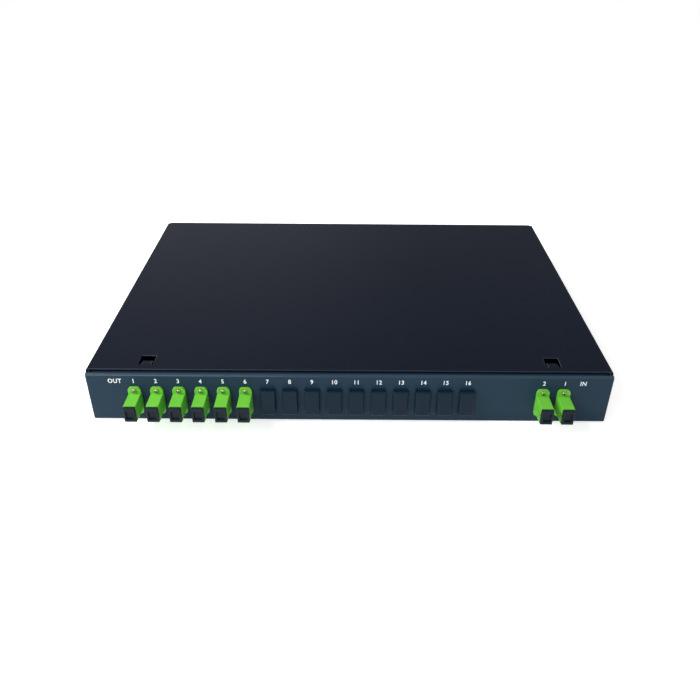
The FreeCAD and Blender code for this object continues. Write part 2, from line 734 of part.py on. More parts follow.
def make_screw(prefix):
    """A pan-head screw with a cross recess. Its head sits on the plane z = 0."""
    screw = Piece(f"{prefix}_stock")
    head = screw.sketch("XY_Plane")
    many_sided(head, 10, "0", "0", f"{prefix}_head_radius")
    screw.pad(head, f"{prefix}_head")

    shank = screw.sketch("XY_Plane")
    many_sided(shank, 8, "0", "0", f"{prefix}_radius")
    screw.pad(shank, f"{prefix}_length", Reversed=True)

    recess = screw.sketch("XY_Plane", f"{prefix}_head")
    long, short = f"({prefix}_head_radius*recess_reach)", f"({prefix}_head_radius*recess_slot)"
    polygon(recess, [
        (short, short), (long, short), (long, f"-{short}"), (short, f"-{short}"),
        (short, f"-{long}"), (f"-{short}", f"-{long}"), (f"-{short}", f"-{short}"),
        (f"-{long}", f"-{short}"), (f"-{long}", short), (f"-{short}", short),
        (f"-{short}", long), (short, long),
    ])
    screw.pocket(recess, f"{prefix}_head/2")
    return screw.body.Shape


def make_port_screws(fitted):
    places = []
    for _, across in fitted:
        for side in "+-":
            level = f"port_level {side} port_screw_spacing/2"
            places.append(at(across, "-depth/2 - flange_thickness", level, (0, -1, 0)))
    return group("adapter_screws", make_screw("port_screw"), places)


def make_lid_screws():
    places = []
    for along in SIDE_SCREWS:
        places.append(at("width/2", along, SCREW_LINE, (1, 0, 0)))
        places.append(at("-width/2", along, SCREW_LINE, (-1, 0, 0)))
    for across in REAR_SCREWS:
        places.append(at(across, "depth/2", SCREW_LINE, (0, 1, 0)))
    return group("cover_screws", make_screw("lid_screw"), places)


def make_sleeves(fitted):
    """The split sleeve that lines up two ferrules, once in each adapter."""
    sleeve = Piece("sleeve_stock")
    tube = sleeve.sketch("XZ_Plane")
    many_sided(tube, 8, "0", "0", "sleeve_radius")
    sleeve.pad(tube, "sleeve_length", SideType="Symmetric")
    bore = sleeve.sketch("XZ_Plane")
    many_sided(bore, 8, "0", "0", "ferrule_radius + ferrule_fit")
    sleeve.pocket(bore, "", SideType="Symmetric")
    slit = sleeve.sketch("XZ_Plane")
    rectangle(slit, "0", "sleeve_radius", "sleeve_slit", "sleeve_radius*1.5")
    sleeve.pocket(slit, "", SideType="Symmetric")
    middle = f"-depth/2 + {ADAPTER_MIDDLE}"
    places = [at(across, middle, "port_level") for _, across in fitted]
    return group("alignment_sleeves", sleeve.body.Shape, places)


def make_boots(fitted):
    """The tapered boot behind each connector."""
    boot = doc.addObject("Part::Wedge", "boot_stock")
    spans = (
        ("X", "boot_root_radius"), ("X2", "boot_tip_radius"),
        ("Z", "boot_root_radius"), ("Z2", "boot_tip_radius"),
    )
    for axis, radius in spans:
        boot.setExpression(f"{axis}min", bound(f"-{radius}"))
        boot.setExpression(f"{axis}max", bound(radius))
    boot.setExpression("Ymin", "0")
    boot.setExpression("Ymax", bound("boot_length"))
    doc.recompute()
    start = "-depth/2 + adapter_rear + plug_end"
    places = [at(across, start, "port_level") for _, across in fitted]
    return group("strain_boots", boot.Shape, places)


def make_saddles():
    """C-shaped saddles that hold the coil down on the tray's floor."""
    inner = number("coil_bundle/2 + coil_fit")
    wall = number("saddle_wall")
    lip = number("saddle_lip")
    radius, wide = number("coil_radius"), number("saddle_width")
    outline = [
        (-inner - wall, -inner - wall), (inner + wall, -inner - wall), (inner + wall, inner + wall),
        (inner - lip, inner + wall), (inner - lip, inner), (inner, inner), (inner, -inner),
        (-inner, -inner), (-inner, inner), (-inner - wall, inner),
    ]
    corners = [FreeCAD.Vector(radius + across, -wide / 2, up) for across, up in outline]
    face = Part.Face(Part.makePolygon(corners + corners[:1]))
    saddle = face.extrude(FreeCAD.Vector(0, wide, 0))
    centre = FreeCAD.Vector(0, number("depth/2 - coil_rear"), number("sheet") + wall + inner)
    places = []
    count = round(number("saddle_count"))
    for index in range(count):
        turn = FreeCAD.Rotation(FreeCAD.Vector(0, 0, 1), 360 / COIL_SIDES * (1 + 7 * index))
        places.append(FreeCAD.Placement(centre, turn))
    return group("coil_saddles", saddle, places)


def tangent_point(start, left):
    """Where a line from start first touches the coil's outside, passing it on one side."""
    centre = FreeCAD.Vector(0, number("depth/2 - coil_rear"), 0)
    corner = number("coil_radius + coil_bundle/2") / math.cos(math.pi / COIL_SIDES)
    reach = corner + number("loom_radius + coil_fit")
    away = FreeCAD.Vector(start.x, start.y, 0) - centre
    turn = math.acos(reach / away.Length) * (-1 if left else 1)
    spoke = FreeCAD.Rotation(FreeCAD.Vector(0, 0, 1), math.degrees(turn)).multVec(away)
    return centre + spoke.normalize() * reach


def tube(points, radius):
    """A six-sided tube along straight runs joined by tangent arcs."""
    path = []
    start = points[0]
    for before, corner, after in zip(points, points[1:], points[2:]):
        back, ahead = (before - corner), (after - corner)
        cut = 0.45 * min(back.Length, ahead.Length)
        into, out = corner + back.normalize() * cut, corner + ahead.normalize() * cut
        half_turn = (math.pi - back.getAngle(ahead)) / 2
        bisector = (back + ahead).normalize()
        bend_radius = cut / math.tan(half_turn)
        middle = corner + bisector * (bend_radius / math.cos(half_turn) - bend_radius)
        path.append(Part.LineSegment(start, into).toShape())
        path.append(Part.Arc(into, middle, out).toShape())
        print(f"fibre bend radius {bend_radius:.0f} mm")
        start = out
    path.append(Part.LineSegment(start, points[-1]).toShape())
    wire = Part.Wire(path)
    along = (points[1] - points[0]).normalize()
    rim = []
    for index in range(7):
        spoke = FreeCAD.Rotation(along, 60 * index).multVec(FreeCAD.Vector(0, 0, radius))
        rim.append(points[0] + spoke)
    solid = wire.makePipeShell([Part.makePolygon(rim)], True, True)
    expected = 1.5 * math.sqrt(3) * radius**2 * wire.Length
    if abs(solid.Volume / expected - 1) > 0.01:
        raise RuntimeError(f"a tube's volume is {solid.Volume:.2f}, not {expected:.2f}")
    return solid


def coil_level(rise):
    return number(f"sheet + saddle_wall + coil_fit + coil_bundle/2 {rise} fibre_rise")


def make_pigtails(label, places, left):
    """Each pigtail runs back from its boot, then slopes down to the coil's side."""
    start_y = number("-depth/2 + adapter_rear + plug_end + boot_length")
    solids = []
    for across in places:
        start = FreeCAD.Vector(number(across), start_y, number("port_level"))
        corner = start + FreeCAD.Vector(0, number("fibre_run"), 0)
        end = tangent_point(corner, left)
        end.z = coil_level("+")
        solids.append(tube([start, corner, end], number("fibre_radius")))
    return group(label, Part.makeCompound(solids), [FreeCAD.Placement()])


def make_leads():
    """Each module's input lead to the right and its output loom to the left."""
    solids = []
    level = number("sheet + cradle_floor + module_height/2")
    for side in "+-":
        along = number(f"{side}(module_width + cradle_wall)/2 - depth/2 + cradle_setback")
        for way, radius in ((1, "fibre_radius"), (-1, "loom_radius")):
            start = FreeCAD.Vector(way * number("module_length/2"), along, level)
            corner = start + FreeCAD.Vector(way * number("lead_run"), 0, 0)
            end = tangent_point(corner, left=way < 0)
            end.z = coil_level("-")
            solids.append(tube([start, corner, end], number(radius)))
    return group("module_leads", Part.makeCompound(solids), [FreeCAD.Placement()])


def make_all():
    places = port_places()
    fitted = [(name, across) for name, across, has_adapter in places if has_adapter]
    bodies = [make_tray(), make_lid(), make_cradle(), make_coil()]
    bodies += [make_module("1x4", "-"), make_module("1x2", "")]
    for name, across in fitted:
        for make in (make_adapter, make_insert, make_cap, make_plug):
            bodies.append(make(name, across))
    for name, across, has_adapter in places:
        if not has_adapter:
            bodies.append(make_blank(name.split("_")[1], across))
    nodes = [piece.body for piece in bodies]
    nodes += [make_port_screws(fitted), make_lid_screws(), make_sleeves(fitted)]
    nodes += [make_boots(fitted), make_saddles(), make_leads()]
    for kind, left in (("out", True), ("in", False)):
        across = [across for name, across in fitted if name.startswith(kind)]
        nodes.append(make_pigtails(f"pigtails_{kind}", across, left))
    return nodes


def export(nodes):
    doc.recompute()
    for made in doc.Objects:
        if {"Invalid", "Error"} & set(made.State):
            raise RuntimeError(f"{made.Label} failed: {made.State}")
    os.makedirs("parts", exist_ok=True)
    for node in nodes:
        if node.Shape.isNull() or not node.Shape.isValid() or not node.Shape.Solids:
            raise RuntimeError(f"{node.Label} has no valid solid")
        node.Shape.exportStep(f"parts/{node.Label}.step")
        print(f"{node.Label}: {len(node.Shape.Solids)} solid, {node.Shape.Volume:.0f} mm3")


export(make_all())
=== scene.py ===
import json
import math

import bmesh
import bpy
from mathutils import Matrix, Vector


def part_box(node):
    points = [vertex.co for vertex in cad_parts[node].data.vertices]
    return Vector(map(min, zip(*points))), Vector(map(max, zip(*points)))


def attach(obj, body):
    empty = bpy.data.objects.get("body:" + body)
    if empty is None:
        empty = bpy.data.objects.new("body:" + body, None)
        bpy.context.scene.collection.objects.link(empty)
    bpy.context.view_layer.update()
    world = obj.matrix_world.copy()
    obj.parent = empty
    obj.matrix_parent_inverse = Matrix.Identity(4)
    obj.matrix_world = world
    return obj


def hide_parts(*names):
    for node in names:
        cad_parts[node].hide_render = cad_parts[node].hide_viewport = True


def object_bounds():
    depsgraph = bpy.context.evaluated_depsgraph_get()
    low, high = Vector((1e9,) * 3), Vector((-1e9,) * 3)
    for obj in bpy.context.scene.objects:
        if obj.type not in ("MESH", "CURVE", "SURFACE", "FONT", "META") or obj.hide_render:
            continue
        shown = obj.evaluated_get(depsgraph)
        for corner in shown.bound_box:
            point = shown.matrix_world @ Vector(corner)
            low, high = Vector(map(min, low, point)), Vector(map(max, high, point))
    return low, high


mm = 0.001
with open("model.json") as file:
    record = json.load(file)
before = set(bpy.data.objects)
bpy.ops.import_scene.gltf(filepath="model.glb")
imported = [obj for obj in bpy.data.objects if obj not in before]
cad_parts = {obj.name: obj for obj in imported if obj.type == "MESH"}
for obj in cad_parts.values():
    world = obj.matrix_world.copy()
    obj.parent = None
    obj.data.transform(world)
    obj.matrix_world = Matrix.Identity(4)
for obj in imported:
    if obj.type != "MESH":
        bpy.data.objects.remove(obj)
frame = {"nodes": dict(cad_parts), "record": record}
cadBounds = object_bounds()
nodes = frame["nodes"]
print("frame loaded:", len(nodes), "nodes")


class Wire:
    # one output socket, so that shader maths reads like ordinary maths
    def __init__(self, sheet, socket):
        self.sheet, self.socket = sheet, socket

    def pair(self, operation, left, right):
        return self.sheet.add("ShaderNodeMath", {"operation": operation}, {0: left, 1: right})

    def __add__(self, other):
        return self.pair("ADD", self, other)

    def __sub__(self, other):
        return self.pair("SUBTRACT", self, other)

    def __rsub__(self, other):
        return self.pair("SUBTRACT", other, self)

    def __mul__(self, other):
        return self.pair("MULTIPLY", self, other)

    def __gt__(self, other):
        return self.pair("GREATER_THAN", self, other)

    __radd__, __rmul__ = __add__, __mul__


class Sheet:
    # a shader tree, started empty
    def __init__(self, tree):
        self.tree = tree
        self.tree.nodes.clear()

    def add(self, kind, settings=None, sockets=None, out=0):
        # any node: its settings first, then the values or links of its sockets
        node = self.tree.nodes.new(kind)
        for key, value in (settings or {}).items():
            setattr(node, key, value)
        for key, value in (sockets or {}).items():
            self.plug(node.inputs[key], value)
        return Wire(self, node.outputs[out]) if node.outputs else None

    def plug(self, socket, value):
        if isinstance(value, Wire):
            self.tree.links.new(value.socket, socket)
        else:
            socket.default_value = value

    def seen(self):
        # 1 where the camera looks, straight, in a reflection or through glass
        return (self.add("ShaderNodeLightPath", out="Is Camera Ray")
                + self.add("ShaderNodeLightPath", out="Is Glossy Ray")
                + self.add("ShaderNodeLightPath", out="Is Transmission Ray"))


class Finish(Sheet):
    # one material, with its Principled shader already wired to the output
    def __init__(self, name):
        self.material = bpy.data.materials.new(name)
        self.material.use_nodes = True
        super().__init__(self.material.node_tree)
        self.output = self.tree.nodes.new("ShaderNodeOutputMaterial")
        self.shader = self.tree.nodes.new("ShaderNodeBsdfPrincipled")
        self.tree.links.new(self.shader.outputs[0], self.output.inputs["Surface"])

    def set(self, **values):
        # Base_Color=..., Roughness=..., and so on
        for key, value in values.items():
            self.plug(self.shader.inputs[key.replace("_", " ")], value)

    def place(self):
        return self.add("ShaderNodeTexCoord", out="Object")

    def noise(self, scale, detail, roughness=0.5, vector=None):
        return self.add("ShaderNodeTexNoise", {}, {
            "Vector": vector or self.place(), "Scale": scale, "Detail": detail, "Roughness": roughness,
        })

    def stretched(self, scales):
        return self.add("ShaderNodeMapping", {}, {"Vector": self.place(), "Scale": scales})

    def blend(self, factor, first, second):
        return self.add("ShaderNodeMix", {"data_type": "RGBA"}, {0: factor, 6: first, 7: second}, out=2)

    def bump(self, height, strength, distance):
        return self.add("ShaderNodeBump", {}, {
            "Height": height, "Strength": strength, "Distance": distance,
        })


def shade(red, green, blue):
    # a screen colour, 0 to 255, as the linear colour that shaders take
    def linear(value):
        value /= 255
        return value / 12.92 if value <= 0.04045 else ((value + 0.055) / 1.055) ** 2.4
    return (linear(red), linear(green), linear(blue), 1)


coatTexture = {
    "grain": 2600, "grainCut": 0.62, "grainHeight": 0.4, "peel": 1300, "peelHeight": 0.6,
    "height": 0.05 * mm, "glossSwing": 0.16,
}
coats = {
    # the lid's and the tray's coats are one black powder coat: the tray's copy, whose front panel faces the
    # lamps, is painted paler and bluer, a painted light, and the lid's copy darker, a painted shade
    "lidPowderCoat": {
        "dark": shade(6, 12, 24), "light": shade(11, 18, 32), "speck": shade(42, 50, 66),
        "drift": 9, "grainShow": 0.12, "roughness": 0.52, "specular": 0.03, "bump": 0.35,
    },
    "trayPowderCoat": {
        "dark": shade(20, 42, 58), "light": shade(28, 52, 69), "speck": shade(84, 104, 118),
        "drift": 9, "grainShow": 0.1, "roughness": 0.5, "specular": 0.15, "bump": 0.35,
    },
    # the fold's coat is glossier and a little paler than the tray's: the paler colour is a painted
    # highlight along the front bend
    "foldCoat": {
        "dark": shade(24, 44, 58), "light": shade(32, 54, 70), "speck": shade(96, 110, 124),
        "drift": 40, "grainShow": 0.12, "roughness": 0.2, "specular": 0.3, "bump": 0.1,
    },
    # the edge coats are paler than their flats: partly thinner paint at the cut edges, partly a painted
    # highlight along every edge
    "lidEdgeCoat": {
        "dark": shade(26, 32, 46), "light": shade(34, 41, 56), "speck": shade(84, 92, 108),
        "drift": 40, "grainShow": 0.12, "roughness": 0.25, "specular": 0.2, "bump": 0.12,
    },
    "trayEdgeCoat": {
        "dark": shade(56, 74, 86), "light": shade(68, 86, 99), "speck": shade(110, 124, 136),
        "drift": 40, "grainShow": 0.12, "roughness": 0.42, "specular": 0.4, "bump": 0.2,
    },
}


def powderCoat(name, look):
    # black powder coat: fine orange peel, soft tone drift, a few paler grains
    finish, texture = Finish(name), coatTexture
    drift = finish.noise(look["drift"], 3)
    grain = finish.noise(texture["grain"], 2)
    peel = finish.noise(texture["peel"], 1)
    base = finish.blend(drift, look["dark"], look["light"])
    height = peel * texture["peelHeight"] + grain * texture["grainHeight"]
    finish.set(
        Base_Color=finish.blend((grain > texture["grainCut"]) * look["grainShow"], base, look["speck"]),
        Roughness=look["roughness"] + (grain - 0.5) * texture["glossSwing"],
        Specular_IOR_Level=look["specular"],
        Normal=finish.bump(height, look["bump"], texture["height"]),
    )
    return finish.material


plasticTexture = {"height": 0.03 * mm, "glossSwing": 0.12, "glow": (0.6 * mm, 1.2 * mm, 0.4 * mm)}
plastics = {
    "adapterGreen": {
        "dark": shade(96, 180, 52), "light": shade(110, 194, 60), "drift": 60, "spark": 1400,
        "roughness": 0.34, "specular": 0.45, "bump": 0.12, "depth": 0.12,
    },
    "capBlack": {
        "dark": shade(10, 22, 30), "light": shade(16, 30, 40), "drift": 90, "spark": 1600,
        "roughness": 0.48, "specular": 0.15, "bump": 0.25,
    },
    "blankBlack": {
        "dark": shade(6, 27, 40), "light": shade(11, 34, 49), "drift": 70, "spark": 1700,
        "roughness": 0.34, "specular": 0.12, "bump": 0.2,
    },
    "connectorGreen": {
        "dark": shade(40, 120, 44), "light": shade(50, 134, 52), "drift": 70, "spark": 1500,
        "roughness": 0.4, "specular": 0.45, "bump": 0.15,
    },
    "bootGreen": {
        "dark": shade(36, 110, 42), "light": shade(44, 122, 50), "drift": 80, "spark": 1300,
        "roughness": 0.62, "specular": 0.3, "bump": 0.2,
    },
    "insertIvory": {
        "dark": shade(226, 222, 206), "light": shade(238, 236, 224), "drift": 80, "spark": 1500,
        "roughness": 0.45, "specular": 0.45, "bump": 0.12,
    },
    "whitePlastic": {
        "dark": shade(214, 214, 210), "light": shade(230, 230, 226), "drift": 60, "spark": 1500,
        "roughness": 0.48, "specular": 0.4, "bump": 0.12,
    },
    "sleeveCeramic": {
        "dark": shade(238, 238, 232), "light": shade(246, 246, 242), "drift": 60, "spark": 2200,
        "roughness": 0.2, "specular": 0.6, "bump": 0.05,
    },
    "fibreJacket": {
        "dark": shade(232, 232, 222), "light": shade(242, 242, 234), "drift": 60, "spark": 1800,
        "roughness": 0.36, "specular": 0.5, "bump": 0.08,
    },
    "printInk": {
        "dark": shade(232, 238, 242), "light": shade(246, 250, 252), "drift": 400, "spark": 2600,
        "roughness": 0.55, "specular": 0.3, "bump": 0.1,
    },
}


def moulded(name, look):
    # injection-moulded plastic: faint flow drift, fine spark texture, slightly uneven gloss
    finish, texture = Finish(name), plasticTexture
    drift = finish.noise(look["drift"], 2)
    spark = finish.noise(look["spark"], 2)
    finish.set(
        Base_Color=finish.blend(drift, look["dark"], look["light"]),
        Roughness=look["roughness"] + (drift - 0.5) * texture["glossSwing"],
        Specular_IOR_Level=look["specular"],
        Subsurface_Weight=look.get("depth", 0),
        Subsurface_Radius=texture["glow"],
        Subsurface_Scale=1.0,
        Normal=finish.bump(spark, look["bump"], texture["height"]),
    )
    return finish.material


metalTexture = {"height": 0.02 * mm, "glossSwing": 0.2, "scratchRoughness": 0.6}
metals = {
    "screwZinc": {
        "dark": (0.24, 0.21, 0.11, 1), "light": (0.40, 0.36, 0.22, 1), "cloud": 700,
        "stretch": (900, 900, 900), "roughness": 0.3, "bump": 0.2,
    },
    "moduleSteel": {
        "dark": (0.55, 0.56, 0.58, 1), "light": (0.66, 0.67, 0.69, 1), "cloud": 50,
        "stretch": (40, 2600, 2600), "roughness": 0.3, "bump": 0.3,
    },
}


def metal(name, look):
    # drawn or plated metal, its fine marks pulled out along the axis that it was drawn along
    finish, texture = Finish(name), metalTexture
    scratch = finish.noise(1, 3, texture["scratchRoughness"], finish.stretched(look["stretch"]))
    cloud = finish.noise(look["cloud"], 2)
    finish.set(
        Base_Color=finish.blend(cloud, look["dark"], look["light"]),
        Metallic=1.0,
        Roughness=look["roughness"] + (scratch - 0.5) * texture["glossSwing"],
        Normal=finish.bump(scratch, look["bump"], texture["height"]),
    )
    return finish.material


paint = {}  # every material, by name
for looks, make in ((coats, powderCoat), (plastics, moulded), (metals, metal)):
    for name, look in looks.items():
        paint[name] = make(name, look)
print("materials made")

meshRules = {
    "weld": 0.002 * mm, "flat": math.radians(1), "edgeSegments": 2, "edgeAngle": math.radians(28),
    "flatWeight": 100,
}


def placed(name, data):
    # an object at the origin for a mesh, a curve, a lamp or a camera
    piece = bpy.data.objects.new(name, data)
    bpy.context.scene.collection.objects.link(piece)
    return piece


def keep(name, work, material):
    # a mesh in the making, finished as a piece of its own
    mesh = bpy.data.meshes.new(name)
    work.to_mesh(mesh)
    work.free()
    mesh.materials.append(material)
    return placed(name, mesh)


def mergedCopy(node):
    work = bmesh.new()
    work.from_mesh(nodes[node].data)
    bmesh.ops.remove_doubles(work, verts=work.verts, dist=meshRules["weld"])
    return work


def cleanCopy(node):
    # a merged copy of a CAD node's mesh, its flat faces joined up
    work = mergedCopy(node)
    bmesh.ops.dissolve_limit(
        work, angle_limit=meshRules["flat"], verts=work.verts, edges=work.edges, delimit={"NORMAL"})
    return work


def bake(piece):
    # the evaluated modifiers, as a plain mesh
    graph = bpy.context.evaluated_depsgraph_get()
    mesh = bpy.data.meshes.new_from_object(piece.evaluated_get(graph))
    piece.modifiers.clear()
    piece.data = mesh
    return piece


def combined(piece, operation, tool):
    # the tool joined to the piece or cut out of it, and then thrown away
    step = piece.modifiers.new("combine", "BOOLEAN")
    step.operation, step.object, step.solver = operation, tool, "EXACT"
    bake(piece)
    bpy.data.objects.remove(tool)


def soften(piece, width, edgeWearAndHighlight=None):
    # broken edges, on their own paler coat where one is given, which is partly thinner paint at the edges
    # and partly a painted highlight along them, and flats that shade flat
    bevel = piece.modifiers.new("edges", "BEVEL")
    bevel.use_clamp_overlap = edgeWearAndHighlight is None  # a sheet's thin edges would stop every other edge
    bevel.width, bevel.segments = width, meshRules["edgeSegments"]
    bevel.limit_method, bevel.angle_limit = "ANGLE", meshRules["edgeAngle"]
    if edgeWearAndHighlight:
        piece.data.materials.append(edgeWearAndHighlight)
        bevel.material = 1
    piece.data.shade_smooth()
    flats = piece.modifiers.new("flats", "WEIGHTED_NORMAL")
    flats.mode, flats.weight, flats.keep_sharp = "FACE_AREA", meshRules["flatWeight"], True
    return bake(piece)


def bodyOf(node):
    return next(body for body, members in frame["record"]["behaviour"]["bodies"].items() if node in members)


def stands(piece, node, slot):
    # the piece takes the CAD node's place and moves as it does
    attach(piece, bodyOf(node))
    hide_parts(node)
    return piece


def rounded(node, name, material, slot, width, edgeWearAndHighlight=None):
    # the CAD form with its edges broken, as moulding and folding leave them
    return stands(soften(keep(name, cleanCopy(node), material), width, edgeWearAndHighlight), node, slot)


def solids(node):
    # the box of each separate solid in a node, as (centre, size)
    work = mergedCopy(node)
    unseen, found = set(work.verts), []
    while unseen:
        stack, group = [unseen.pop()], []
        while stack:
            vert = stack.pop()
            group.append(vert.co.copy())
            for edge in vert.link_edges:
                other = edge.other_vert(vert)
                if other in unseen:
                    unseen.discard(other)
                    stack.append(other)
        low = Vector([min(point[axis] for point in group) for axis in range(3)])
        high = Vector([max(point[axis] for point in group) for axis in range(3)])
        found.append(((low + high) / 2, high - low))
    work.free()
    return sorted(found, key=lambda item: tuple(round(value, 5) for value in item[0]))  # to 0.01 mm


def turning(profile, sides):
    # a closed form turned about +Z from (radius, height) points that start and end on the axis
    work = bmesh.new()
    rings = []
    for radius, height in profile:
        if radius == 0:
            rings.append([work.verts.new((0, 0, height))])
            continue
        ring = []
        for step in range(sides):
            angle = 2 * math.pi * step / sides
            ring.append(work.verts.new((radius * math.cos(angle), radius * math.sin(angle), height)))
        rings.append(ring)
    for below, above in zip(rings, rings[1:]):
        for step in range(sides):
            after = (step + 1) % sides
            corners = [below[step % len(below)], below[after % len(below)],
                       above[after % len(above)], above[step % len(above)]]
            work.faces.new(list(dict.fromkeys(corners)))
    bmesh.ops.recalc_face_normals(work, faces=work.faces)
    return work


def newTree(title, inputs, output):
    # an empty geometry tree with named inputs, as (tree, input node, output node)
    tree = bpy.data.node_groups.new(title, "GeometryNodeTree")
    for name, kind in inputs.items():
        tree.interface.new_socket(name, in_out="INPUT", socket_type="NodeSocket" + kind)
    tree.interface.new_socket(output, in_out="OUTPUT", socket_type="NodeSocketGeometry")
    return tree, tree.nodes.new("NodeGroupInput"), tree.nodes.new("NodeGroupOutput")


def named(tree, title):
    # a vector that each point carries
    attribute = tree.nodes.new("GeometryNodeInputNamedAttribute")
    attribute.data_type = "FLOAT_VECTOR"
    attribute.inputs["Name"].default_value = title
    return attribute.outputs["Attribute"]


def coated(tree, shape, material, leave):
    # the last step of a tree: the material, and out
    coat = tree.nodes.new("GeometryNodeSetMaterial")
    coat.inputs["Material"].default_value = material
    tree.links.new(shape, coat.inputs["Geometry"])
    tree.links.new(coat.outputs["Geometry"], leave.inputs[0])
    return tree


def grown(name, points, carried, tree, inputs):
    # the tree run with these inputs on loose points, which carry named vectors, kept as a mesh
    mesh = bpy.data.meshes.new(name)
    mesh.from_pydata(points, [], [])
    for title, vectors in carried.items():
        attribute = mesh.attributes.new(title, "FLOAT_VECTOR", "POINT")
        for item, vector in zip(attribute.data, vectors):
            item.vector = vector
    piece = placed(name, mesh)
    modifier = piece.modifiers.new("grow", "NODES")
    modifier.node_group = tree
    for item in tree.interface.items_tree:
        if item.name in inputs:
            modifier[item.identifier] = inputs[item.name]
    return bake(piece)


def repeatTree(title, template):
    # a copy of the template on each point, turned to its "facing", rolled at random about its axis
    inputs = {"Points": "Geometry", "Scale": "Float", "Roll": "Float", "Seed": "Int"}
    tree, entry, leave = newTree(title, inputs, "Pieces")
    add, link = tree.nodes.new, tree.links.new
    info = add("GeometryNodeObjectInfo")
    info.inputs["Object"].default_value = template
    place = add("GeometryNodeInstanceOnPoints")
    link(entry.outputs["Points"], place.inputs["Points"])
    link(info.outputs["Geometry"], place.inputs["Instance"])
    link(named(tree, "facing"), place.inputs["Rotation"])
    link(entry.outputs["Scale"], place.inputs["Scale"])
    chance = add("FunctionNodeRandomValue")
    chance.data_type = "FLOAT"
    link(entry.outputs["Seed"], chance.inputs["Seed"])
    link(entry.outputs["Roll"], chance.inputs[3])
    spin = add("ShaderNodeCombineXYZ")
    link(chance.outputs[1], spin.inputs["Z"])
    turn = add("GeometryNodeRotateInstances")
    link(place.outputs["Instances"], turn.inputs["Instances"])
    link(spin.outputs[0], turn.inputs["Rotation"])
    real = add("GeometryNodeRealizeInstances")
    link(turn.outputs["Instances"], real.inputs["Geometry"])
    return coated(tree, real.outputs["Geometry"], template.data.materials[0], leave)


def repeated(name, template, places, roll=0.0, seed=3):
    # places: (point, facing) pairs, where facing is the Euler turn of the template's +Z
    points = [tuple(point) for point, facing in places]
    carried = {"facing": [facing for point, facing in places]}
    tree = repeatTree(name + "Repeat", template)
    piece = grown(name, points, carried, tree, {"Scale": 1.0, "Roll": roll, "Seed": seed})
    bpy.data.objects.remove(template)
    return piece


quarter = math.radians(90)
faceFront, faceRear = (quarter, 0, 0), (-quarter, 0, 0)
faceRight, faceLeft = (0, quarter, 0), (0, -quarter, 0)

screws = {
    "adapter_screws": {
        "name": "portScrew", "seed": 5, "head": 1.75, "tall": 1.1, "shank": 0.94, "length": 5.0,
        "slot": 0.42, "deep": 0.75,
    },
    "cover_screws": {
        "name": "coverScrew", "seed": 9, "head": 2.8, "tall": 1.8, "shank": 1.44, "length": 6.0,
        "slot": 0.62, "deep": 1.2,
    },
}
# shares of the shank's radius (point, lead), of the head's radius or height, and, for crossFloor,
# of the cross's width at its top
screwForm = {
    "point": 0.7, "lead": 0.4, "rim": 0.96, "rimTall": 0.12, "sideTall": 0.42, "crown": 0.45,
    "crossReach": 0.58, "crossTop": 1.2, "crossFloor": 0.72,
}
screwRules = {"sides": 28, "crownSteps": 6, "crease": math.radians(30), "roll": 6.28}


def crossCutter(name, size):
    # the cross that recesses a head, narrower at its floor
    half, reach = size["slot"] * mm / 2, size["head"] * mm * screwForm["crossReach"]
    tall, narrow = size["tall"] * mm, screwForm["crossFloor"]
    outline = [(half, half), (reach, half), (reach, -half)]
    while len(outline) < 12:
        x, y = outline[-3]
        outline.append((y, -x))  # the corner three before, a quarter turn on
    work = bmesh.new()
    floor = [work.verts.new((x * narrow, y * narrow, tall - size["deep"] * mm)) for x, y in outline]
    roof = [work.verts.new((x, y, tall * screwForm["crossTop"])) for x, y in outline]
    work.faces.new(floor)
    work.faces.new(roof[::-1])
    for index in range(12):
        after = (index + 1) % 12
        work.faces.new((floor[index], roof[index], roof[after], floor[after]))
    bmesh.ops.recalc_face_normals(work, faces=work.faces)
    return keep(name + "Cross", work, paint["screwZinc"])


def panScrew(name, size):
    form = screwForm
    head, tall, shank, length = (size[key] * mm for key in ("head", "tall", "shank", "length"))
    profile = [
        (0, -length), (shank * form["point"], -length), (shank, -length + shank * form["lead"]), (shank, 0),
        (head * form["rim"], 0), (head, tall * form["rimTall"]), (head, tall * form["sideTall"]),
    ]
    for step in range(1, screwRules["crownSteps"]):
        angle = quarter * step / screwRules["crownSteps"]
        across = form["crown"] + (1 - form["crown"]) * math.cos(angle)
        up = form["sideTall"] + (1 - form["sideTall"]) * math.sin(angle)
        profile.append((head * across, tall * up))
    profile += [(head * form["crown"], tall), (0, tall)]
    screw = keep(name, turning(profile, screwRules["sides"]), paint["screwZinc"])
    combined(screw, "DIFFERENCE", crossCutter(name, size))
    screw.data.shade_smooth()
    screw.data.set_sharp_from_angle(angle=screwRules["crease"])
    return screw


def screwSeats(node, tall):
    # under each head, with the way that its screw faces: outwards, along its length
    facings = {(0, 1): faceRight, (0, -1): faceLeft, (1, 1): faceRear, (1, -1): faceFront}
    seats = []
    for spot, size in solids(node):
        axis = 0 if size.x > size.y else 1
        side = math.copysign(1, spot[axis])
        spot[axis] += side * (size[axis] / 2 - tall)
        seats.append((spot, facings[axis, side]))
    return seats


screwCounts = []
for node, size in screws.items():
    name, seats = size["name"], screwSeats(node, size["tall"] * mm)
    piece = repeated(name + "s", panScrew(name, size), seats, screwRules["roll"], size["seed"])
    stands(piece, node, "screw_steel")
    screwCounts.append(str(len(seats)))
print("screws placed:", " and ".join(screwCounts))

sheet = {"edge": 0.4 * mm, "foldDeep": 2 * mm, "foldLeast": 0.3, "foldMost": 0.95}
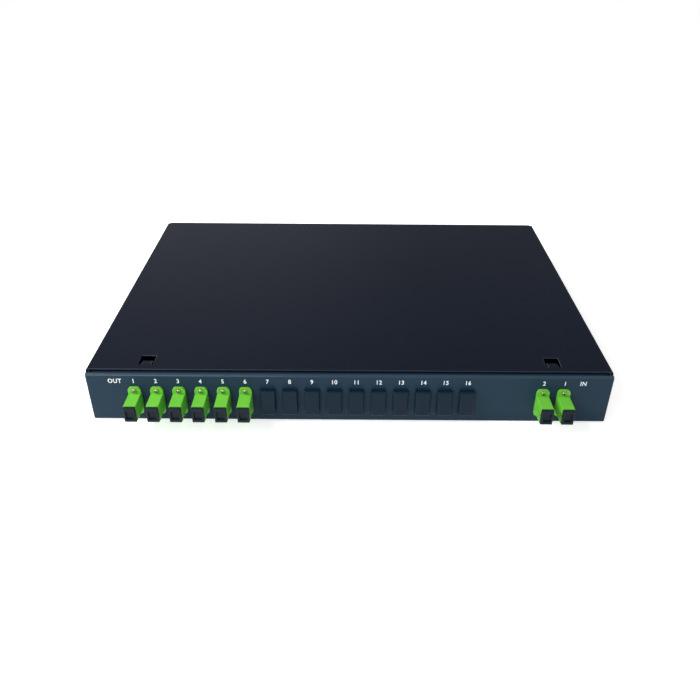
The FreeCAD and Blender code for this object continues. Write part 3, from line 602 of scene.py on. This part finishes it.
# the tray's and the lid's broken edges take the paler edge coats, a painted highlight along them with
# thinner paint there
tray = rounded("base_tray", "foldedTray", paint["trayPowderCoat"], "black_powder_coat",
               sheet["edge"], paint["trayEdgeCoat"])
rounded("top_cover", "foldedLid", paint["lidPowderCoat"], "black_powder_coat",
        sheet["edge"], paint["lidEdgeCoat"])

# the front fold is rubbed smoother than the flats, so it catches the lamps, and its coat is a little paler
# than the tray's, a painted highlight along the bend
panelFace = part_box("base_tray")[0][1]
tray.data.materials.append(paint["foldCoat"])
for face in tray.data.polygons:
    atFront = face.center.y < panelFace + sheet["foldDeep"] and face.normal.y < -sheet["foldLeast"]
    if atFront and sheet["foldLeast"] < face.normal.z < sheet["foldMost"]:
        face.material_index = 2
print("tray and lid dressed")

flangeSizes = {
    "corner": 0.95 * mm, "segments": 3, "plate": 1.8 * mm, "slack": 0.05 * mm, "straight": 0.99,
    "clearOf": 2 * mm,
}


def roundFlange(piece):
    # the flange's corners, rounded where the CAD form is chamfered
    size, work, corners = flangeSizes, bmesh.new(), []
    work.from_mesh(piece.data)
    middle = sum(vert.co.x for vert in work.verts) / len(work.verts)
    for edge in work.edges:
        run = edge.verts[1].co - edge.verts[0].co
        outer = abs(edge.verts[0].co.x - middle) > size["clearOf"]
        asThick = abs(run.length - size["plate"]) < size["slack"]
        if outer and asThick and abs(run.y) > size["straight"] * run.length:
            corners.append(edge)
    bmesh.ops.bevel(work, geom=corners, offset=size["corner"], segments=size["segments"],
                    affect="EDGES", profile=0.5, clamp_overlap=True)
    work.to_mesh(piece.data)
    work.free()


barrelSizes = {"outer": 2.49, "bore": 1.65, "length": 13, "through": 1.2, "sides": 40}


def roundBarrel(piece):
    # a round sleeve holder and bore in place of the eight-sided ones
    size, across = barrelSizes, piece.data.vertices[0].co.x
    sleeves = (spot for spot, box in solids("alignment_sleeves"))
    centre = min(sleeves, key=lambda spot: abs(spot.x - across))
    half = size["length"] * mm / 2
    steps = (("UNION", size["outer"] * mm, half), ("DIFFERENCE", size["bore"] * mm, half * size["through"]))
    for operation, radius, reach in steps:
        profile = [(0, -reach), (radius, -reach), (radius, reach), (0, reach)]
        tool = keep("barrel", turning(profile, size["sides"]), paint["insertIvory"])
        tool.data.transform(Matrix.Translation(centre) @ Matrix.Rotation(quarter, 4, "X"))
        combined(piece, operation, tool)


def mouldedSet(prefix, ends, name, material, slot, width, shape):
    # one mould, the same form at every port
    pattern = keep(name, cleanCopy(prefix + ends[0]), material)
    if shape:
        shape(pattern)
    soften(pattern, width)
    home = Vector(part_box(prefix + ends[0])[0])
    for end in ends:
        mesh = pattern.data.copy()
        mesh.transform(Matrix.Translation(Vector(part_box(prefix + end)[0]) - home))
        stands(placed(name + end.title().replace("_", ""), mesh), prefix + end, slot)
    bpy.data.objects.remove(pattern)


outPorts, inPorts = [f"out_{number}" for number in range(1, 7)], ["in_1", "in_2"]
closedPorts = [str(number) for number in range(7, 17)]
ports = outPorts + inPorts
mouldings = {
    "adapter_": (ports, "adapter", paint["adapterGreen"], "green_adapter", 0.22 * mm, roundFlange),
    "dust_cap_": (ports, "dustCap", paint["capBlack"], "black_cap", 0.2 * mm, None),
    "plug_": (ports, "connector", paint["connectorGreen"], "green_connector", 0.2 * mm, None),
    "latch_insert_": (ports, "latchInsert", paint["insertIvory"], "ivory_insert", 0.08 * mm, roundBarrel),
    "blank_": (closedPorts, "blank", paint["blankBlack"], "black_blank", 0.3 * mm, None),
}
for prefix, mould in mouldings.items():
    mouldedSet(prefix, *mould)
print("adapters, caps, blanks, connectors and inserts dressed")

# the spans are shares of one rib's pitch, grooveMost of the radius there, collarFlat of the collar
bootSizes = {
    "root": 2.55, "tip": 1.1, "length": 20, "collar": 2.4, "collarFlat": 0.8, "ribs": 9, "sides": 20,
    "groove": 0.42, "grooveMost": 0.3, "grooveSpan": (-0.12, 0.22), "ribSpan": (0.34, 0.78),
}


def ribbedBoot(size):
    # a tapered strain boot: a collar, then ribs that thin out towards the fibre
    root, tip, length, collar = (size[key] * mm for key in ("root", "tip", "length", "collar"))
    pitch = (length - collar) / size["ribs"]

    def radius(height):
        return root + (tip - root) * height / length

    profile = [(0, 0), (root, 0), (root, collar * size["collarFlat"])]
    for rib in range(size["ribs"]):
        start = collar + rib * pitch
        waist = radius(start) - min(size["groove"] * mm, radius(start) * size["grooveMost"])
        profile += [(waist, start + pitch * share) for share in size["grooveSpan"]]
        profile += [(radius(start + pitch * share), start + pitch * share) for share in size["ribSpan"]]
    profile += [(tip, length), (0, length)]
    boot = keep("ribbedBoot", turning(profile, size["sides"]), paint["bootGreen"])
    boot.data.shade_smooth()
    return boot


bootPlaces = [((spot.x, spot.y - size.y / 2, spot.z), faceRear) for spot, size in solids("strain_boots")]
stands(repeated("strainBoots", ribbedBoot(bootSizes), bootPlaces), "strain_boots", "green_boot")

sleeveSizes = {"outer": 1.6, "inner": 1.27, "length": 11.4, "slit": 0.5, "sides": 32}


def splitSleeve(size):
    # a tube with one slit along it
    outer, inner, slit, length = (size[key] * mm for key in ("outer", "inner", "slit", "length"))
    edge, sides = math.asin(slit / 2 / outer), size["sides"]
    work, rows = bmesh.new(), []
    for height in (-length / 2, length / 2):
        for radius in (outer, inner):
            row = []
            for step in range(sides + 1):
                turn = math.pi / 2 + edge + (2 * math.pi - 2 * edge) * step / sides
                row.append(work.verts.new((radius * math.cos(turn), radius * math.sin(turn), height)))
            rows.append(row)
    lowOut, lowIn, highOut, highIn = rows
    for one, two in ((lowOut, highOut), (highOut, highIn), (highIn, lowIn), (lowIn, lowOut)):
        for step in range(sides):
            work.faces.new((one[step], one[step + 1], two[step + 1], two[step]))
    for end in (0, -1):
        work.faces.new((lowOut[end], highOut[end], highIn[end], lowIn[end]))
    bmesh.ops.recalc_face_normals(work, faces=work.faces)
    return keep("splitSleeve", work, paint["sleeveCeramic"])


sleevePlaces = [(spot, faceFront) for spot, size in solids("alignment_sleeves")]
stands(repeated("splitSleeves", splitSleeve(sleeveSizes), sleevePlaces), "alignment_sleeves", "zirconia")

coilSizes = {
    "fibre": 0.43, "pitch": 0.96, "rings": {1: 6, 2: 12}, "tuck": 0.93, "steps": 84, "sides": 6,
    "tilt": 0.0012, "tiltStep": 2.4, "turnStep": 0.33,
}


def woundTree(title, size):
    # a ring of fibre on each point, widened or narrowed by its "spread" and tipped by its "tip"
    tree, entry, leave = newTree(title, {"Turns": "Geometry", "Radius": "Float", "Fibre": "Float"}, "Coil")
    add, link = tree.nodes.new, tree.links.new
    ring, section = add("GeometryNodeCurvePrimitiveCircle"), add("GeometryNodeCurvePrimitiveCircle")
    ring.inputs["Resolution"].default_value = size["steps"]
    section.inputs["Resolution"].default_value = size["sides"]
    link(entry.outputs["Radius"], ring.inputs["Radius"])
    link(entry.outputs["Fibre"], section.inputs["Radius"])
    place, real = add("GeometryNodeInstanceOnPoints"), add("GeometryNodeRealizeInstances")
    link(entry.outputs["Turns"], place.inputs["Points"])
    link(ring.outputs["Curve"], place.inputs["Instance"])
    link(named(tree, "tip"), place.inputs["Rotation"])
    link(named(tree, "spread"), place.inputs["Scale"])
    link(place.outputs["Instances"], real.inputs["Geometry"])
    tube, smooth = add("GeometryNodeCurveToMesh"), add("GeometryNodeSetShadeSmooth")
    link(real.outputs["Geometry"], tube.inputs["Curve"])
    link(section.outputs["Curve"], tube.inputs["Profile Curve"])
    link(tube.outputs["Mesh"], smooth.inputs["Geometry"])
    return coated(tree, smooth.outputs["Geometry"], paint["fibreJacket"], leave)


def woundCoil(name, size):
    # one turn in the middle of the bundle, six round it and twelve outside those
    low, high = (Vector(corner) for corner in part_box("fibre_coil"))
    middle, bundle = (low + high) / 2, high.z - low.z
    radius = (high.x - low.x - bundle) / 2
    spots = [(0, 0)]
    for ring, count in size["rings"].items():
        for step in range(count):
            angle = 2 * math.pi * step / count
            reach = size["pitch"] * mm * ring * (size["tuck"] if ring == 2 and step % 2 else 1)
            spots.append((reach * math.cos(angle), reach * math.sin(angle)))
    points = [(middle.x, middle.y, middle.z + up) for out, up in spots]
    carried = {"spread": [(1 + out / radius, 1 + out / radius, 1) for out, up in spots], "tip": []}
    for turn in range(len(spots)):
        lean, tilt = size["tiltStep"] * turn, size["tilt"]
        carried["tip"].append((tilt * math.sin(lean), tilt * math.cos(lean), size["turnStep"] * turn))
    tree = woundTree(name + "Winding", size)
    return grown(name, points, carried, tree, {"Radius": radius, "Fibre": size["fibre"] * mm})


stands(woundCoil("slackCoil", coilSizes), "fibre_coil", "fibre_jacket")

holders = {
    "splitter_1x4": ("splitterTubeFour", paint["moduleSteel"], "module_steel", 0.45 * mm),
    "splitter_1x2": ("splitterTubeTwo", paint["moduleSteel"], "module_steel", 0.45 * mm),
    "module_cradle": ("moduleCradle", paint["whitePlastic"], "white_plastic", 0.3 * mm),
    "coil_saddles": ("coilSaddles", paint["whitePlastic"], "white_plastic", 0.2 * mm),
}
for node, holder in holders.items():
    rounded(node, *holder)

for node in ("pigtails_out", "pigtails_in", "module_leads"):  # these keep their CAD meshes
    slots = nodes[node].data.materials
    slots.clear()
    slots.append(paint["fibreJacket"])
print("inside dressed")

# capital is a capital's height as a share of the type size
labels = {
    "digitTall": 3.5 * mm, "wordTall": 3.6 * mm, "middle": 36.0 * mm, "proud": 0.03 * mm,
    "bold": 0.1 * mm, "narrow": 0.87, "spread": 1.12, "outAcross": -173.8 * mm, "inAcross": 172.9 * mm,
    "capital": 0.7, "curveSteps": 6, "weld": 0.0005 * mm,
}


def printed(name, text, across, tall):
    nine = text == "9"  # drawn as a six turned over, because thickening breaks the nine's thin tail
    curve = bpy.data.curves.new(name, "FONT")
    curve.body = "6" if nine else text
    curve.size = tall / labels["capital"]
    curve.align_x = "CENTER"
    curve.offset = labels["bold"]
    curve.space_character = labels["spread"]
    curve.extrude = labels["proud"] / 2
    curve.resolution_u = labels["curveSteps"]
    source = placed(name, curve)
    graph = bpy.context.evaluated_depsgraph_get()
    graph.update()
    mesh = bpy.data.meshes.new_from_object(source.evaluated_get(graph))
    bpy.data.objects.remove(source)
    top = max(vert.co.y for vert in mesh.vertices)
    low = min(vert.co.y for vert in mesh.vertices)
    mesh.transform(
        Matrix.Translation((across, panelFace - labels["proud"] / 2, labels["middle"]))
        @ Matrix.Rotation(quarter, 4, "X")
        @ Matrix.Diagonal((labels["narrow"], 1, 1, 1))
        @ Matrix.Rotation(math.pi if nine else 0, 4, "Z")
        @ Matrix.Translation((0, -(top + low) / 2, 0))
    )
    work = bmesh.new()
    work.from_mesh(mesh)
    bmesh.ops.remove_doubles(work, verts=work.verts, dist=labels["weld"])
    bmesh.ops.recalc_face_normals(work, faces=work.faces)
    for face in work.faces:
        face.smooth, face.material_index = False, 0
    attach(keep(name, work, paint["printInk"]), "chassis")


def middleOf(node):
    low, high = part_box(node)
    return (low[0] + high[0]) / 2


for end in outPorts + closedPorts + inPorts:
    node = ("blank_" if end in closedPorts else "adapter_") + end
    way, number = "In" if end in inPorts else "Out", end.split("_")[-1]
    printed(f"digit{way}{number}", number, middleOf(node), labels["digitTall"])
printed("wordOut", "OUT", labels["outAcross"], labels["wordTall"])
printed("wordIn", "IN", labels["inAcross"], labels["wordTall"])
print("labels printed")

black, white = (0, 0, 0, 1), (1, 1, 1, 1)
studio = {
    "floorSize": 6.0, "floorDrop": 0.1 * mm, "floorTone": (0.9, 0.9, 0.9, 1), "floorRoughness": 0.9,
    "floorSpecular": 0.1, "floorLift": (0.62, 0.62, 0.62, 1), "worldLight": 0.36,
}

floorFinish = Finish("paleFloor")
floorFinish.set(
    Base_Color=studio["floorTone"],
    Roughness=studio["floorRoughness"],
    Specular_IOR_Level=studio["floorSpecular"],
    Emission_Strength=1,
    Emission_Color=floorFinish.blend(floorFinish.seen(), black, studio["floorLift"]),
)
floorMesh = bpy.data.meshes.new("floor")
half, level = studio["floorSize"] / 2, cadBounds[0][2] - studio["floorDrop"]
floorMesh.from_pydata(
    [(-half, -half, level), (half, -half, level), (half, half, level), (-half, half, level)],
    [], [(0, 1, 2, 3)])
floorMesh.materials.append(floorFinish.material)
placed("floor", floorMesh)

# a dim world that looks white wherever it is seen
world = bpy.data.worlds.new("studio")
bpy.context.scene.world = world
world.use_nodes = True
air = Sheet(world.node_tree)
dim = air.add("ShaderNodeBackground", {}, {"Color": white, "Strength": studio["worldLight"]})
full = air.add("ShaderNodeBackground", {}, {"Color": white, "Strength": 1.0})
shown = air.add("ShaderNodeMixShader", {}, {0: air.seen(), 1: dim, 2: full})
air.add("ShaderNodeOutputWorld", {}, {"Surface": shown})

lamps = {
    "key": {"spot": (-0.95, -0.3, 0.95), "size": 0.7, "watts": 19},
    "front": {"spot": (-0.7, -1.6, 0.7), "size": 1.0, "watts": 11},
    "fill": {"spot": (1.2, 0.2, 1.5), "size": 1.2, "watts": 2},
    "back": {"spot": (-0.42, 1.35, 0.55), "size": 0.9, "watts": 3},
}
aim = Vector((0, 0, 0.02))
for name, lamp in lamps.items():
    light = bpy.data.lights.new(name, "AREA")
    light.size, light.energy = lamp["size"], lamp["watts"]
    stand = placed(name, light)
    stand.location = lamp["spot"]
    stand.rotation_euler = (aim - Vector(lamp["spot"])).to_track_quat("-Z", "Y").to_euler()

view = {
    "spot": (-1.35, -570.2, 335.9), "pan": -0.176, "down": 32.416, "tilt": 0.481,
    "lens": 36.32, "sensor": 36, "near": 0.01,
}
camera = bpy.data.cameras.new("camera")
camera.lens, camera.sensor_width, camera.clip_start = view["lens"], view["sensor"], view["near"]
eye = placed("camera", camera)
eye.matrix_world = (
    Matrix.Translation(Vector(view["spot"]) * mm)
    @ Matrix.Rotation(math.radians(view["pan"]), 4, "Z")
    @ Matrix.Rotation(math.radians(90 - view["down"]), 4, "X")
    @ Matrix.Rotation(math.radians(view["tilt"]), 4, "Z")
)
bpy.context.scene.camera = eye
bpy.context.scene.view_settings.view_transform = "Standard"
print("studio ready")
